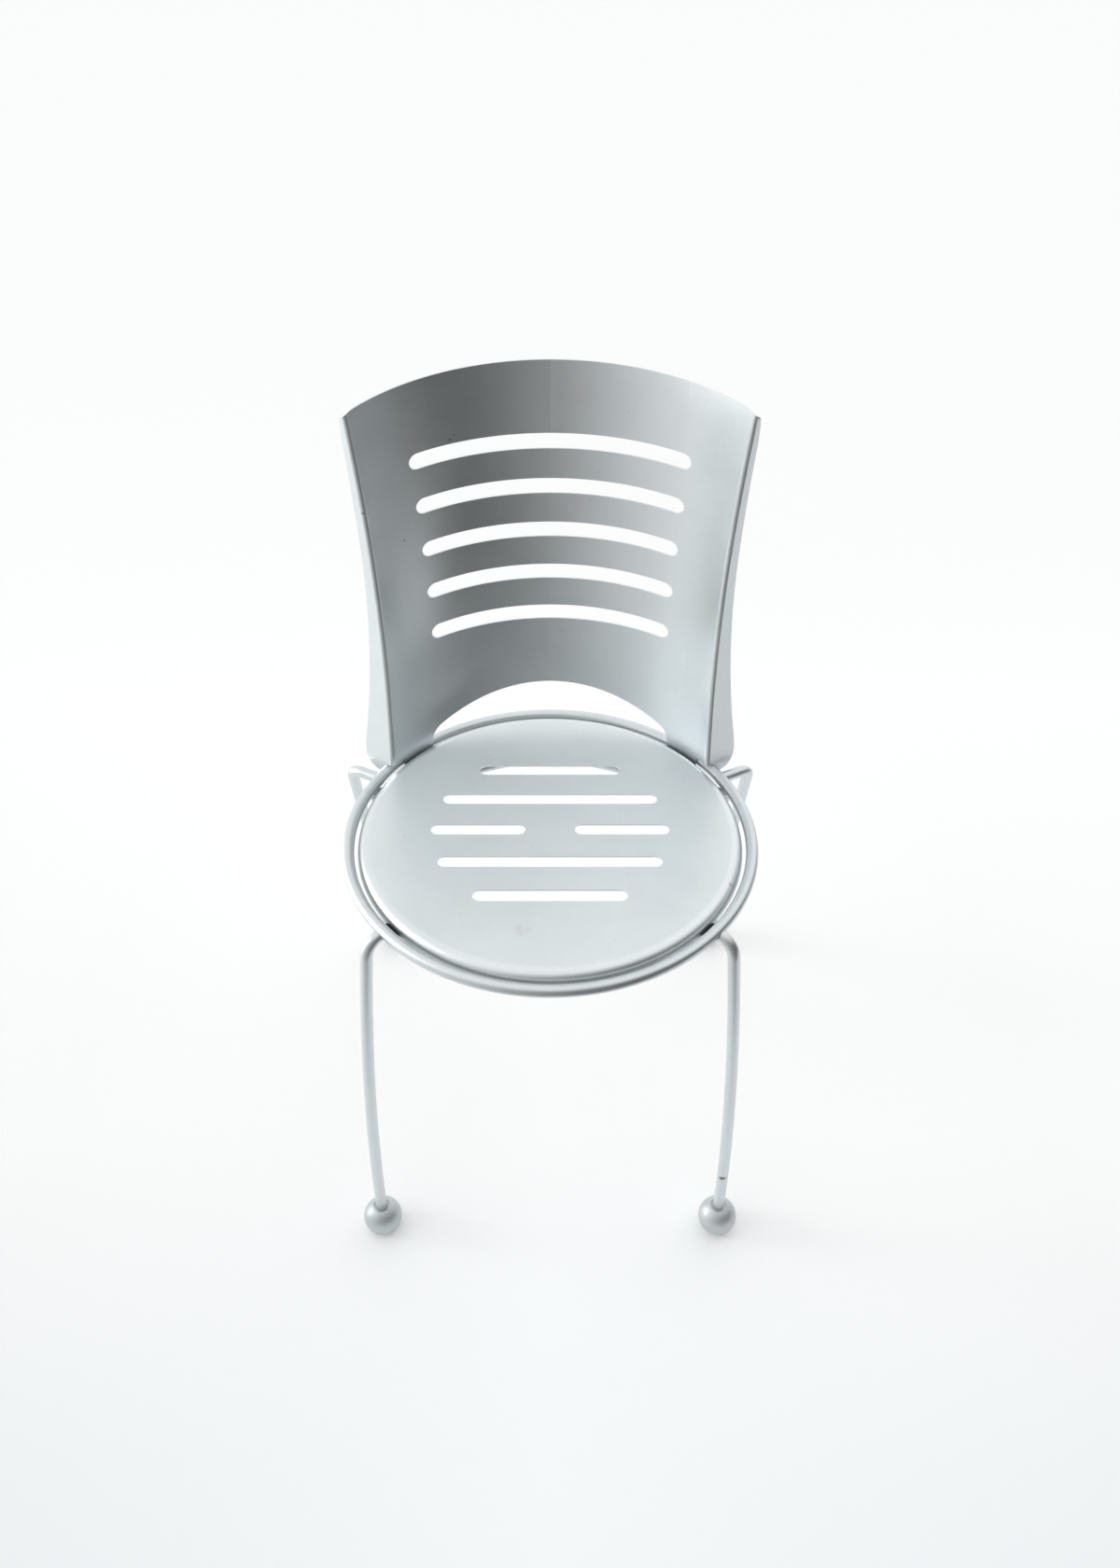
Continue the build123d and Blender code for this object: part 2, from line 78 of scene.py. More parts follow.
# M5 studs and nuts under the seat
FRONT_STUD = Vector((0.13179, -0.15814, 0.436))  # foot of the right one
REAR_STUD = Vector((0.11041, 0.05820, 0.428))
STUD_TOP = 0.4585
THREAD_PITCH = 0.8 * MM
THREAD_ROOT = 2.06 * MM
THREAD_DEPTH = 0.43 * MM
THREAD_STEPS = 24  # to one turn
SPARE_TURNS = 2  # swept past each end of the stud, then cut off
NUT_ABOVE_FOOT = 2 * MM
NUT_FLATS = 8 * MM
NUT_HEIGHT = 4 * MM
NUT_FACE = 3.8 * MM  # radius of its flat end, inside the chamfer
NUT_CHAMFER = 0.45 * MM
NUT_BORE = 2.55 * MM
NUT_SINK = 0.35 * MM  # countersink at both ends of the bore
BLANK_SIDES = 72  # of the round blank that the nut is cut from

# Lacquer
FLAKE_WEIGHT = 0.25  # flakes against the coat's drift
FRAY = 4 * MM  # how far a mark's outline wanders
DARKEST_HEIGHT = 4 * MM  # height at and below which the feet's patchy darkening is strongest

# Studio
PAPER_FRONT = -0.62  # paper's front edge below the camera
FALL_OFF = 1.95  # how fast the surround darkens from left to right
BRIGHT_WAY = (-0.3, 0.65, 0.85)  # toward its bright side
CAMERA_PLACE = (0, -1.0073, 1.3355)
CAMERA_DOWN = 40.37  # degrees below level


def linear(code):
    """Turns an sRGB hex colour into linear RGBA."""
    parts = [int(code[i:i + 2], 16) / 255 for i in (1, 3, 5)]
    return [p / 12.92 if p <= 0.04045 else ((p + 0.055) / 1.055) ** 2.4 for p in parts] + [1.0]


def add(tree, kind, settings=None, inputs=None, links=None):
    """Adds one node: its settings, the fixed values of its inputs, and the outputs linked into it."""
    node = tree.nodes.new(kind)
    for name, value in (settings or {}).items():
        setattr(node, name, value)
    for name, value in (inputs or {}).items():
        node.inputs[name].default_value = value
    for name, socket in (links or {}).items():
        tree.links.new(socket, node.inputs[name])
    return node


def new_material(name):
    material = bpy.data.materials.new(name)
    material.use_nodes = True
    material.node_tree.nodes.clear()
    return material, material.node_tree


# Silver lacquer sprayed on aluminium. It gives the eye a soft, wide sheen that runs from pale to mid-grey with the
# light, a faint orange peel and flake, paler edges (rubbed and painted highlight), painted shade with some grime in
# the nooks, a few hairlines and small dark specks.
def silver_lacquer(name, base, dark, roughness, nook_shade_and_grime, marks=(), darkened_below=0.0):
    material, tree = new_material(name)
    place = add(tree, "ShaderNodeTexCoord").outputs["Object"]

    # Spray coat drifts over about 70 mm. Flakes are near 0.05 mm and are drawn at 0.8 mm so that they show.
    cloud = add(tree, "ShaderNodeTexNoise", inputs={"Scale": 1 / (70 * MM), "Detail": 4.0, "Roughness": 0.55},
                links={"Vector": place})
    flake = add(tree, "ShaderNodeTexVoronoi", inputs={"Scale": 1 / (0.8 * MM)}, links={"Vector": place})
    grain = add(tree, "ShaderNodeMath", {"operation": "MULTIPLY_ADD"}, {1: FLAKE_WEIGHT},
                {0: flake.outputs["Color"], 2: cloud.outputs["Fac"]})
    tint = add(tree, "ShaderNodeMapRange", inputs={"From Min": 0.35, "From Max": 0.9},
               links={"Value": grain.outputs[0]})
    colour = add(tree, "ShaderNodeMix", {"data_type": "RGBA"}, {"A": linear(dark), "B": linear(base)},
                 {"Factor": tint.outputs["Result"]}).outputs["Result"]

    # Hairlines about 1 mm wide and 80 mm long, drawn wider than a real scratch so that they show
    lines = []
    for lean in ((0.3, 0.2, 0.5), (-0.2, 0.4, -0.9)):
        along = add(tree, "ShaderNodeMapping",
                    inputs={"Rotation": lean, "Scale": (1 / MM, 1 / (80 * MM), 1 / (80 * MM))},
                    links={"Vector": place})
        streak = add(tree, "ShaderNodeTexNoise", inputs={"Scale": 1.0, "Detail": 0.0},
                     links={"Vector": along.outputs["Vector"]})
        lines.append(add(tree, "ShaderNodeMapRange", inputs={"From Min": 0.78, "From Max": 0.84, "To Max": 0.25},
                         links={"Value": streak.outputs["Fac"]}).outputs["Result"])
    hairline = add(tree, "ShaderNodeMath", {"operation": "MAXIMUM"}, links={0: lines[0], 1: lines[1]})
    colour = add(tree, "ShaderNodeMix", {"data_type": "RGBA"}, {"B": linear("#F4F6F6")},
                 {"Factor": hairline.outputs[0], "A": colour}).outputs["Result"]

    # Paler edges, in places: metal rubbed bright along them, and a painted highlight where a rounded edge would catch
    # the light
    eased = add(tree, "ShaderNodeBevel", {"samples": 4}, {"Radius": 0.9 * MM})
    facing = add(tree, "ShaderNodeNewGeometry")
    flat = add(tree, "ShaderNodeVectorMath", {"operation": "DOT_PRODUCT"},
               links={0: eased.outputs["Normal"], 1: facing.outputs["Normal"]})
    edge = add(tree, "ShaderNodeMapRange", inputs={"From Min": 0.98, "From Max": 0.80, "To Max": 0.5},
               links={"Value": flat.outputs["Value"]})
    rub = add(tree, "ShaderNodeTexNoise", inputs={"Scale": 1 / (12 * MM), "Detail": 3.0}, links={"Vector": place})
    rubbed_and_lit_edges = add(tree, "ShaderNodeMath", {"operation": "MULTIPLY"},
               links={0: edge.outputs["Result"], 1: rub.outputs["Fac"]})
    colour = add(tree, "ShaderNodeMix", {"data_type": "RGBA"}, {"B": linear("#F2F3F2")},
                 {"Factor": rubbed_and_lit_edges.outputs[0], "A": colour}).outputs["Result"]

    # Painted shade, with some grime, darkens the nooks up to a given width and up to a given strength
    nook_width, shade_and_grime_strength = nook_shade_and_grime
    nook = add(tree, "ShaderNodeAmbientOcclusion", {"samples": 6}, {"Distance": nook_width})
    shade_and_dirt = add(tree, "ShaderNodeMapRange", inputs={"From Min": 0.75, "From Max": 0.15, "To Max": shade_and_grime_strength},
               links={"Value": nook.outputs["AO"]})
    colour = add(tree, "ShaderNodeMix", {"data_type": "RGBA"}, {"B": linear("#5E605F")},
                 {"Factor": shade_and_dirt.outputs["Result"], "A": colour}).outputs["Result"]

    # Specks up to 1.4 mm across, some 20 mm apart
    speck = add(tree, "ShaderNodeTexVoronoi", inputs={"Scale": 1 / (20 * MM)}, links={"Vector": place})
    dots = add(tree, "ShaderNodeMapRange", inputs={"From Min": 0.035, "From Max": 0.015, "To Max": 0.6},
               links={"Value": speck.outputs["Distance"]})
    colour = add(tree, "ShaderNodeMix", {"data_type": "RGBA"}, {"B": linear("#66696B")},
                 {"Factor": dots.outputs["Result"], "A": colour}).outputs["Result"]

    # Single marks. A 3 mm noise makes their outline ragged. It shifts them by half of FRAY on average, so that
    # much is added to their place.
    wander = add(tree, "ShaderNodeTexNoise", inputs={"Scale": 1 / (3 * MM), "Detail": 2.0},
                 links={"Vector": place})
    ragged = add(tree, "ShaderNodeVectorMath", {"operation": "MULTIPLY_ADD"}, {1: (FRAY, FRAY, FRAY)},
                 {0: wander.outputs["Color"], 2: place})
    for spot, size, code, strength in marks:
        shifted = [value + FRAY / 2 for value in spot]
        gap = add(tree, "ShaderNodeVectorMath", {"operation": "DISTANCE"}, {1: shifted},
                  {0: ragged.outputs["Vector"]})
        mask = add(tree, "ShaderNodeMapRange",
                   inputs={"From Min": size * MM, "From Max": 0.4 * size * MM, "To Max": strength},
                   links={"Value": gap.outputs["Value"]})
        colour = add(tree, "ShaderNodeMix", {"data_type": "RGBA"}, {"B": linear(code)},
                     {"Factor": mask.outputs["Result"], "A": colour}).outputs["Result"]

    # Patchy brownish-grey darkening towards the bottom of the feet
    if darkened_below:
        level = add(tree, "ShaderNodeSeparateXYZ", links={"Vector": place})
        reach = add(tree, "ShaderNodeMapRange", inputs={"From Min": darkened_below, "From Max": DARKEST_HEIGHT},
                    links={"Value": level.outputs["Z"]})
        knocks = add(tree, "ShaderNodeTexNoise", inputs={"Scale": 1 / (4 * MM), "Detail": 5.0},
                     links={"Vector": place})
        patch = add(tree, "ShaderNodeMapRange", inputs={"From Min": 0.42, "From Max": 0.58, "To Max": 0.8},
                    links={"Value": knocks.outputs["Fac"]})
        low_darkening = add(tree, "ShaderNodeMath", {"operation": "MULTIPLY"},
                    links={0: reach.outputs["Result"], 1: patch.outputs["Result"]})
        colour = add(tree, "ShaderNodeMix", {"data_type": "RGBA"}, {"B": linear("#77716B")},
                     {"Factor": low_darkening.outputs[0], "A": colour}).outputs["Result"]

    # Orange peel, 1.6 mm from crest to crest
    peel = add(tree, "ShaderNodeTexNoise", inputs={"Scale": 1 / (1.6 * MM), "Detail": 1.0},
               links={"Vector": place})
    bump = add(tree, "ShaderNodeBump", inputs={"Strength": 0.06, "Distance": 0.2 * MM},
               links={"Height": peel.outputs["Fac"]})
    smooth, rougher = roughness
    rough = add(tree, "ShaderNodeMapRange",
                inputs={"From Min": 0.35, "From Max": 0.9, "To Min": smooth, "To Max": rougher},
                links={"Value": grain.outputs[0]})
    shader = add(tree, "ShaderNodeBsdfPrincipled", inputs={"Metallic": 0.92},
                 links={"Base Color": colour, "Roughness": rough.outputs["Result"],
                        "Normal": bump.outputs["Normal"]})
    add(tree, "ShaderNodeOutputMaterial", links={"Surface": shader.outputs["BSDF"]})
    return material


# Two colours clouded together over one fine grain, for the moulded and plated small parts
def clouded(name, base, dark, cloud_size, grain_size, depth, roughness, metallic=0.0):
    material, tree = new_material(name)
    place = add(tree, "ShaderNodeTexCoord").outputs["Object"]
    cloud = add(tree, "ShaderNodeTexNoise", inputs={"Scale": 1 / cloud_size, "Detail": 4.0},
                links={"Vector": place})
    tint = add(tree, "ShaderNodeMapRange", inputs={"From Min": 0.35, "From Max": 0.65},
               links={"Value": cloud.outputs["Fac"]})
    colour = add(tree, "ShaderNodeMix", {"data_type": "RGBA"}, {"A": linear(dark), "B": linear(base)},
                 {"Factor": tint.outputs["Result"]})
    grain = add(tree, "ShaderNodeTexNoise", inputs={"Scale": 1 / grain_size, "Detail": 2.0},
                links={"Vector": place})
    bump = add(tree, "ShaderNodeBump", inputs={"Strength": 0.5, "Distance": depth},
               links={"Height": grain.outputs["Fac"]})
    smooth, rougher = roughness
    rough = add(tree, "ShaderNodeMapRange",
                inputs={"From Min": 0.3, "From Max": 0.7, "To Min": smooth, "To Max": rougher},
                links={"Value": cloud.outputs["Fac"]})
    shader = add(tree, "ShaderNodeBsdfPrincipled", inputs={"Metallic": metallic},
                 links={"Base Color": colour.outputs["Result"], "Roughness": rough.outputs["Result"],
                        "Normal": bump.outputs["Normal"]})
    add(tree, "ShaderNodeOutputMaterial", links={"Surface": shader.outputs["BSDF"]})
    return material


# Marks: place in metres, reach in mm, colour, strength
seat_marks = [
    # Dried drips near the seat's front
    ((-0.0285, -0.1805, 0.460), 5.5, "#B3A48F", 0.16),
    ((-0.0270, -0.1870, 0.460), 5.0, "#B3A48F", 0.14),
    ((-0.0205, -0.1830, 0.460), 5.0, "#B3A48F", 0.12),
    # Rub on the rim
    ((0.1719, -0.1221, 0.457), 2.5, "#9A6A5C", 0.45),
]
back_marks = [
    # Pecks on the back
    ((-0.0974, 0.1766, 0.768), 2.2, "#4B4E50", 0.55),
    ((-0.0930, 0.1790, 0.772), 1.6, "#4B4E50", 0.5),
    ((-0.1010, 0.1750, 0.763), 1.5, "#4B4E50", 0.5),
    ((-0.1435, 0.1265, 0.686), 1.7, "#4B4E50", 0.55),
    ((-0.1766, 0.0979, 0.731), 1.7, "#4B4E50", 0.5),
    # Chip at the back's corner
    ((0.1883, 0.1055, 0.824), 2.5, "#4A4B4B", 0.8),
]
rod_marks = [
    # Scuff on the right front leg
    ((0.1835, -0.2105, 0.0985), 4.2, "#55585A", 0.9),
    ((0.1868, -0.2085, 0.0985), 3.8, "#55585A", 0.9),
]
# Each finish's nook darkening (width, strength) is painted shade with some grime
seat = silver_lacquer("sprayed_silver_lacquer_on_seat_sheet", "#E6ECEE", "#DEE4E6", roughness=(0.32, 0.36),
                      nook_shade_and_grime=(10 * MM, 0.75), marks=seat_marks)
back = silver_lacquer("sprayed_silver_lacquer_on_back_sheet", "#E6ECEE", "#DEE4E6", roughness=(0.32, 0.36),
                      nook_shade_and_grime=(5 * MM, 0.45), marks=back_marks)
# The rods wear the same lacquer as the sheets; their colours are set a little darker as painted shade
rods = silver_lacquer("sprayed_silver_lacquer_on_rod", "#DCE2E4", "#D4DADC", roughness=(0.38, 0.42),
                      nook_shade_and_grime=(10 * MM, 0.3), marks=rod_marks)
balls = silver_lacquer("sprayed_silver_lacquer_on_cast_balls", "#CED4D6", "#C3C9CB", roughness=(0.48, 0.53),
                       nook_shade_and_grime=(5 * MM, 0.3), darkened_below=9 * MM)

# Moulded black rubber: matt, with a fine grain and a little dust
rubber = clouded("moulded_black_rubber", "#29292A", "#151516", cloud_size=6 * MM, grain_size=0.5 * MM,
                 depth=0.08 * MM, roughness=(0.62, 0.8))
# Moulded grey nylon: dull, clouded paler and darker
nylon = clouded("moulded_grey_nylon", "#4A4B4E", "#333436", cloud_size=2.5 * MM, grain_size=0.4 * MM,
                depth=0.05 * MM, roughness=(0.48, 0.66))
# Zinc-plated steel: bright, slightly blotched by its passivation
zinc = clouded("zinc_plated_steel", "#C6C8CA", "#A9ABAA", cloud_size=2 * MM, grain_size=0.3 * MM,
               depth=0.01 * MM, roughness=(0.26, 0.42), metallic=1.0)

# Finish by the last word of a node's name. The rest are the rod frame and its lugs.
finishes = {"pan": seat, "backrest": back, "foot": balls, "pad": rubber, "glide": nylon,
            "studs": zinc, "washers": zinc, "nuts": zinc}
for name, node in nodes.items():
    node.data.materials.clear()
    node.data.materials.append(finishes.get(name.split("_")[-1], rods))


def choose(piece, kind, test):
    """Selects in edit mode the vertices, edges or faces of a piece that pass a test."""
    bpy.ops.mesh.select_mode(type=kind)
    bpy.ops.mesh.select_all(action="DESELECT")
    mesh = bmesh.from_edit_mesh(piece.data)
    for part in {"VERT": mesh.verts, "EDGE": mesh.edges, "FACE": mesh.faces}[kind]:
        part.select_set(test(part))
    bmesh.update_edit_mesh(piece.data)


def close_up(sharp_angle):
    """Merges doubles, turns the faces outward, and leaves edit mode with all but the sharp edges smooth."""
    bpy.ops.mesh.select_all(action="SELECT")
    bpy.ops.mesh.remove_doubles(threshold=MERGE)
    bpy.ops.mesh.normals_make_consistent(inside=False)
    bpy.ops.object.mode_set(mode="OBJECT")
    bpy.ops.object.shade_smooth_by_angle(angle=math.radians(sharp_angle))


def hex_nut():
    """Turned blank, chamfered and bored, then cut to six flats, with its foot at the origin."""
    corner = NUT_FLATS / 2 / math.cos(math.radians(30))
    bpy.ops.mesh.primitive_cylinder_add(vertices=BLANK_SIDES, radius=corner,
                                        depth=NUT_HEIGHT - 2 * NUT_CHAMFER, location=(0, 0, NUT_HEIGHT / 2))
    nut = bpy.context.object
    bpy.ops.object.transform_apply(location=True, rotation=True, scale=True)
    bpy.ops.object.mode_set(mode="EDIT")
    for way in (1, -1):
        choose(nut, "FACE", lambda face: face.normal.z * way > 0.9)
        bpy.ops.mesh.extrude_region_move(TRANSFORM_OT_translate={"value": (0, 0, way * NUT_CHAMFER)})
        bpy.ops.transform.resize(value=(NUT_FACE / corner, NUT_FACE / corner, 1), center_override=(0, 0, 0))
        bpy.ops.mesh.inset(thickness=NUT_FACE - NUT_BORE - NUT_SINK)
        bpy.ops.mesh.inset(thickness=NUT_SINK, depth=-NUT_SINK)
        bpy.ops.mesh.delete(type="FACE")
    choose(nut, "EDGE", lambda line: line.is_boundary)
    bpy.ops.mesh.bridge_edge_loops()
    for step in range(6):
        way = Vector((math.cos(math.radians(60 * step)), math.sin(math.radians(60 * step)), 0))
        bpy.ops.mesh.select_all(action="SELECT")
        bpy.ops.mesh.bisect(plane_co=way * NUT_FLATS / 2, plane_no=way, use_fill=True, clear_outer=True)
    close_up(sharp_angle=25)
    return nut


def threaded_stud(length):
    """Thread swept up round the axis and cut off square at both ends, with its foot at the origin."""
    bpy.ops.mesh.primitive_circle_add(vertices=4, radius=1, rotation=(math.pi / 2, 0, 0),
                                      location=(THREAD_ROOT, 0, -SPARE_TURNS * THREAD_PITCH))
    stud = bpy.context.object
    stud.scale = (THREAD_DEPTH, THREAD_PITCH / 2, 1)
    bpy.ops.object.transform_apply(location=True, rotation=True, scale=True)
    bpy.ops.object.mode_set(mode="EDIT")
    choose(stud, "VERT", lambda point: point.co.x < THREAD_ROOT - THREAD_DEPTH / 2)
    bpy.ops.mesh.delete(type="VERT")
    bpy.ops.object.mode_set(mode="OBJECT")
    sweep = stud.modifiers.new("thread", "SCREW")
    sweep.screw_offset = THREAD_PITCH
    sweep.iterations = math.ceil(length / THREAD_PITCH) + 2 * SPARE_TURNS
    sweep.steps = sweep.render_steps = THREAD_STEPS
    bpy.ops.object.modifier_apply(modifier=sweep.name)
    bpy.ops.object.mode_set(mode="EDIT")
    bpy.ops.mesh.select_all(action="SELECT")
    bpy.ops.mesh.remove_doubles(threshold=MERGE)
    for height, way in ((0, -1), (length, 1)):
        bpy.ops.mesh.select_all(action="SELECT")
        bpy.ops.mesh.bisect(plane_co=(0, 0, height), plane_no=(0, 0, way), use_fill=True, clear_outer=True)
    close_up(sharp_angle=20)
    return stud


def place_copy(source, name, place, material):
    """Puts a copy, with a mesh of its own, at its place on the chair."""
    piece = source.copy()
    piece.data = source.data.copy()
    piece.name = piece.data.name = name
    piece.data.transform(Matrix.Translation(place))
    piece.data.materials.clear()
    piece.data.materials.append(material)
    bpy.context.scene.collection.objects.link(piece)
    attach(piece, "root")
    return piece


nut = hex_nut()
for end, foot in (("front", FRONT_STUD), ("rear", REAR_STUD)):
    bpy.ops.object.select_all(action="DESELECT")
    stud = threaded_stud(STUD_TOP - foot.z)
    for side, sign in SIDES.items():
        stands = Vector((sign * foot.x, foot.y, foot.z))
        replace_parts(place_copy(stud, f"{end}_{side}_threaded_stud", stands, zinc), "seat_studs")
        bears = stands + Vector((0, 0, NUT_ABOVE_FOOT))
        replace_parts(place_copy(nut, f"{end}_{side}_hex_nut", bears, zinc), "seat_nuts")
    bpy.data.objects.remove(stud)
bpy.data.objects.remove(nut)


def weld(name, spots):
    """A run of beads, fused and smoothed to one rippled weld under the frame."""
    beads = []
    for spot in spots:
        bpy.ops.mesh.primitive_ico_sphere_add(subdivisions=2, radius=BEAD, location=spot)
        beads.append(bpy.context.object)
    for bead in beads:
        bead.select_set(True)
    bpy.ops.object.join()
    run = bpy.context.object
    bpy.ops.object.transform_apply(location=True, rotation=True, scale=True)
    fuse = run.modifiers.new("fuse", "REMESH")
    fuse.voxel_size = FUSE_GRID
    bpy.ops.object.modifier_apply(modifier=fuse.name)
    ease = run.modifiers.new("ease", "SMOOTH")
    ease.iterations = EASE_PASSES
    bpy.ops.object.modifier_apply(modifier=ease.name)
    bpy.ops.object.shade_smooth()
    run.name = run.data.name = name
    run.data.materials.append(rods)
    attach(run, "root")
    bpy.ops.object.select_all(action="DESELECT")


def under_ring(sign, angle, out, along, down):
    """A place under the ring: out from its centre, along its rod, and down from its middle."""
    turn = math.radians(angle)
    way = Vector((sign * math.cos(turn), math.sin(turn), 0))
    return ring_middle + way * out + Vector((-way.y, way.x, 0)) * along + Vector((0, 0, -down))


def steps(reach):
    """Offsets one ripple apart, from -reach to reach."""
    count = round(2 * reach / BEAD_STEP)
    return [reach * (2 * i / count - 1) for i in range(count + 1)]


for side, sign in SIDES.items():
    # Front: along the lug's end, over the leg's round where they meet, and along the ring's inside
    seam = []
    inside = []
    for along in steps(LUG_WIDTH / 2 - BEAD):
        leg_round = LEG_DROP + math.sqrt(max(rod_radius ** 2 - along ** 2, 0))
        seam.append(under_ring(sign, FRONT_LEG_ANGLE, ring_radius + SEAM_OUT, along, max(leg_round, SEAM_DOWN)))
        inside.append(under_ring(sign, FRONT_LEG_ANGLE, ring_radius - LUG_RUN_IN, along, LUG_RUN_DOWN))
    weld(f"front_{side}_leg_weld", seam)
    weld(f"front_{side}_lug_weld", inside)
    # Rear: round the underside of the leg's stub, and both sides of the bar's end
    stub = []
    for along in steps(STUB_REACH * rod_radius):
        down = LEG_DROP + STUB_DEPTH * math.sqrt(rod_radius ** 2 - along ** 2)
        out = ring_radius + math.sqrt(max(rod_radius ** 2 - down ** 2, 0)) - STUB_IN
        stub.append(under_ring(sign, REAR_LEG_ANGLE, out, along, down))
    weld(f"rear_{side}_leg_weld", stub)
    inward = Vector((sign * math.cos(math.radians(BAR_TURN)), math.sin(math.radians(BAR_TURN)), 0))
    beside = Vector((-inward.y, inward.x, 0))
    crossing = under_ring(sign, BAR_ANGLE, ring_radius, 0, BAR_RUN_DOWN)
    weld(f"rear_{side}_bar_weld", [crossing + inward * run + beside * off
                                   for off in (-BAR_RUN_ASIDE, BAR_RUN_ASIDE) for run in steps(BAR_RUN_REACH)])

# Studio: white paper under and behind the chair, in a surround that is bright above, behind and to the left and falls
# off to the dark side of the room, in front and to the right
paper, tree = new_material("white_paper")
place = add(tree, "ShaderNodeSeparateXYZ", links={"Vector": add(tree, "ShaderNodeTexCoord").outputs["Object"]})
# Painted shade: the paper's colour is slightly greyer in front of the chair than under it and to its sides, as if
# less light fell there
near = add(tree, "ShaderNodeMapRange", inputs={"From Min": PAPER_FRONT, "From Max": -0.08},
           links={"Value": place.outputs["Y"]})
aside = add(tree, "ShaderNodeMath", {"operation": "ABSOLUTE"}, links={0: place.outputs["X"]})
clear = add(tree, "ShaderNodeMapRange", inputs={"From Min": 0.5, "From Max": 1.0},
            links={"Value": aside.outputs[0]})
pale = add(tree, "ShaderNodeMath", {"operation": "MAXIMUM"},
           links={0: near.outputs["Result"], 1: clear.outputs["Result"]})
shade = add(tree, "ShaderNodeMix", {"data_type": "RGBA"}, {"A": linear("#EAEEF0"), "B": linear("#F6F7F7")},
            {"Factor": pale.outputs[0]})
# The paper also glows so that it shows white. For the camera the glow greys off to both sides in front, a painted
# fall-off of light.
# The metal mirrors it at an even level near the chair, and brighter far out at both sides, where it is painted light
# that is no lamp.
greyed = add(tree, "ShaderNodeMapRange", inputs={"From Max": 0.6, "To Min": 0.165, "To Max": 0.09},
             links={"Value": aside.outputs[0]})
bare = add(tree, "ShaderNodeMapRange", inputs={"From Min": 0.1, "From Max": 0.8, "To Max": 0.16},
           links={"Value": place.outputs["Y"], "To Min": greyed.outputs["Result"]})
path = add(tree, "ShaderNodeLightPath")
seen = add(tree, "ShaderNodeMath", {"operation": "MULTIPLY"},
           links={0: path.outputs["Is Camera Ray"], 1: bare.outputs["Result"]})
mirrored = add(tree, "ShaderNodeMath", {"operation": "ADD"},
               links={0: path.outputs["Is Glossy Ray"], 1: path.outputs["Is Transmission Ray"]})
lit_sides = add(tree, "ShaderNodeMapRange",
                inputs={"From Min": 1.3, "From Max": 1.8, "To Min": 0.15, "To Max": 0.36},
                links={"Value": aside.outputs[0]})
glow = add(tree, "ShaderNodeMath", {"operation": "MULTIPLY_ADD"},
           links={0: mirrored.outputs[0], 1: lit_sides.outputs["Result"], 2: seen.outputs[0]})
matt = add(tree, "ShaderNodeBsdfDiffuse", links={"Color": shade.outputs["Result"]})
lift = add(tree, "ShaderNodeEmission", inputs={"Color": linear("#FFFFFF")}, links={"Strength": glow.outputs[0]})
both = add(tree, "ShaderNodeAddShader", links={0: matt.outputs[0], 1: lift.outputs[0]})
add(tree, "ShaderNodeOutputMaterial", links={"Surface": both.outputs[0]})
floor_mesh = bpy.data.meshes.new("paper_floor")
corners = [(-5, -0.75), (-1.1, -0.75), (-0.8, PAPER_FRONT), (0.8, PAPER_FRONT), (1.1, -0.8), (2.0, -0.8),
           (2.0, 1.2), (6, 10), (-6, 10)]
floor_mesh.from_pydata([(x, y, 0) for x, y in corners], [], [list(range(len(corners)))])
floor_mesh.materials.append(paper)
floor = bpy.data.objects.new("paper_floor", floor_mesh)
bpy.context.scene.collection.objects.link(floor)

world = bpy.data.worlds.new("studio_surround")
world.use_nodes = True
tree = world.node_tree
tree.nodes.clear()
way = add(tree, "ShaderNodeTexCoord").outputs["Generated"]
across = add(tree, "ShaderNodeVectorMath", {"operation": "DOT_PRODUCT"}, {1: (1.0, 0.0, 0.0)}, {0: way})
left = add(tree, "ShaderNodeMapRange", inputs={"From Min": 1.0, "From Max": -1.0},
           links={"Value": across.outputs["Value"]})
fall = add(tree, "ShaderNodeMath", {"operation": "POWER"}, {1: FALL_OFF}, {0: left.outputs["Result"]})
low = add(tree, "ShaderNodeMapRange", inputs={"To Min": 0.06, "To Max": 0.92}, links={"Value": fall.outputs[0]})
high = add(tree, "ShaderNodeMapRange",
           inputs={"From Min": -1.0, "From Max": 1.0, "To Min": 0.90, "To Max": 1.20},
           links={"Value": across.outputs["Value"]})
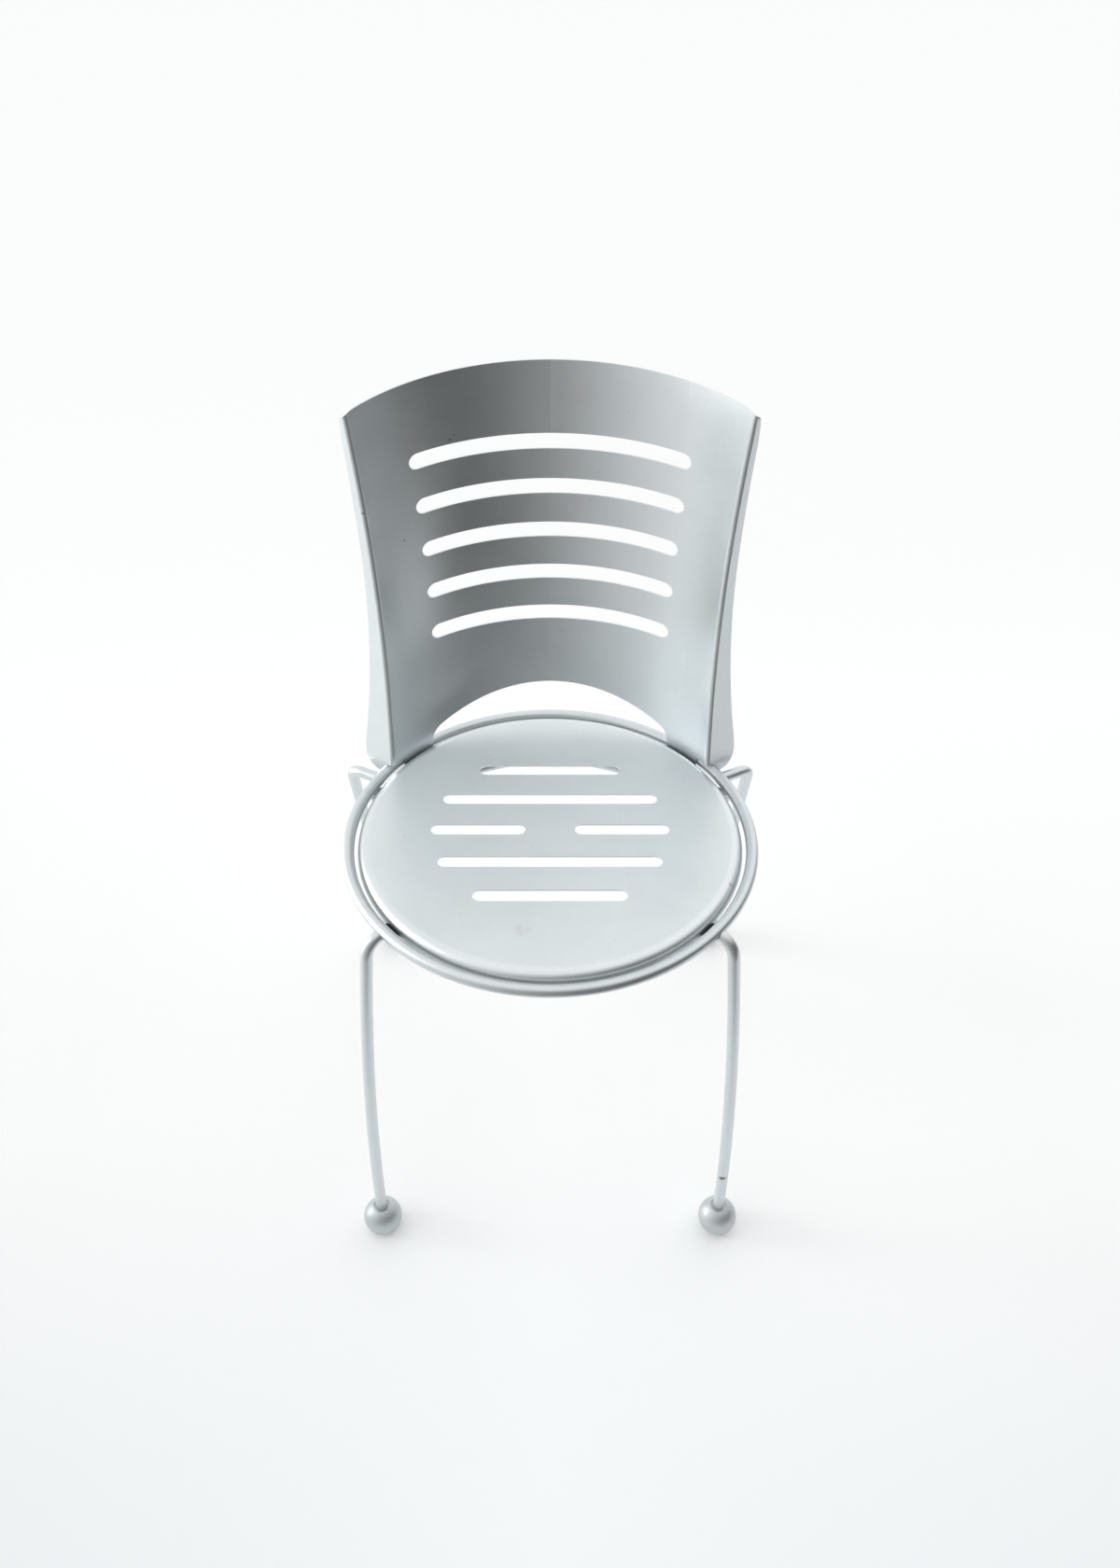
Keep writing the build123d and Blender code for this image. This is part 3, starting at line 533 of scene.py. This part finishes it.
height = add(tree, "ShaderNodeVectorMath", {"operation": "DOT_PRODUCT"}, {1: BRIGHT_WAY}, {0: way})
level = add(tree, "ShaderNodeMapRange", {"interpolation_type": "SMOOTHSTEP"},
            {"From Min": -0.15, "From Max": 0.55},
            {"Value": height.outputs["Value"], "To Min": low.outputs["Result"], "To Max": high.outputs["Result"]})
lit = add(tree, "ShaderNodeBackground", inputs={"Color": linear("#FFFFFF")},
          links={"Strength": level.outputs["Result"]})
# From the other sides the camera looks past the paper at a plain pale wall
wall = add(tree, "ShaderNodeBackground", inputs={"Color": linear("#F4F6F6"), "Strength": 1.0})
path = add(tree, "ShaderNodeLightPath")
surround = add(tree, "ShaderNodeMixShader",
               links={0: path.outputs["Is Camera Ray"], 1: lit.outputs[0], 2: wall.outputs[0]})
add(tree, "ShaderNodeOutputWorld", links={"Surface": surround.outputs[0]})
bpy.context.scene.world = world


def softbox(name, place, aim, size, watts, spread):
    """Square area lamp, aimed at a point, with its spread in degrees."""
    lamp = bpy.data.lights.new(name, "AREA")
    lamp.shape = "SQUARE"
    lamp.size = size
    lamp.energy = watts
    lamp.spread = math.radians(spread)
    holder = bpy.data.objects.new(name, lamp)
    bpy.context.scene.collection.objects.link(holder)
    holder.location = place
    holder.rotation_euler = (holder.location - Vector(aim)).to_track_quat("Z", "Y").to_euler()


softbox("left_softbox", place=(-2.0, 0.35, 1.0), aim=(0.1, 0.1, 0.70), size=1.2, watts=3.2, spread=36)
softbox("upper_left_softbox", place=(-1.70, -0.50, 1.6), aim=(0, 0, 0.3), size=0.5, watts=1.8, spread=180)

# Camera at the photograph's viewing angle
lens = bpy.data.cameras.new("camera")
lens.lens = 30.0
lens.sensor_width = 36.0
lens.shift_x = 0.0063
camera = bpy.data.objects.new("camera", lens)
bpy.context.scene.collection.objects.link(camera)
camera.location = CAMERA_PLACE
camera.rotation_euler = (math.radians(90 - CAMERA_DOWN), 0, 0)
bpy.context.scene.camera = camera
bpy.context.scene.view_settings.view_transform = "Standard"
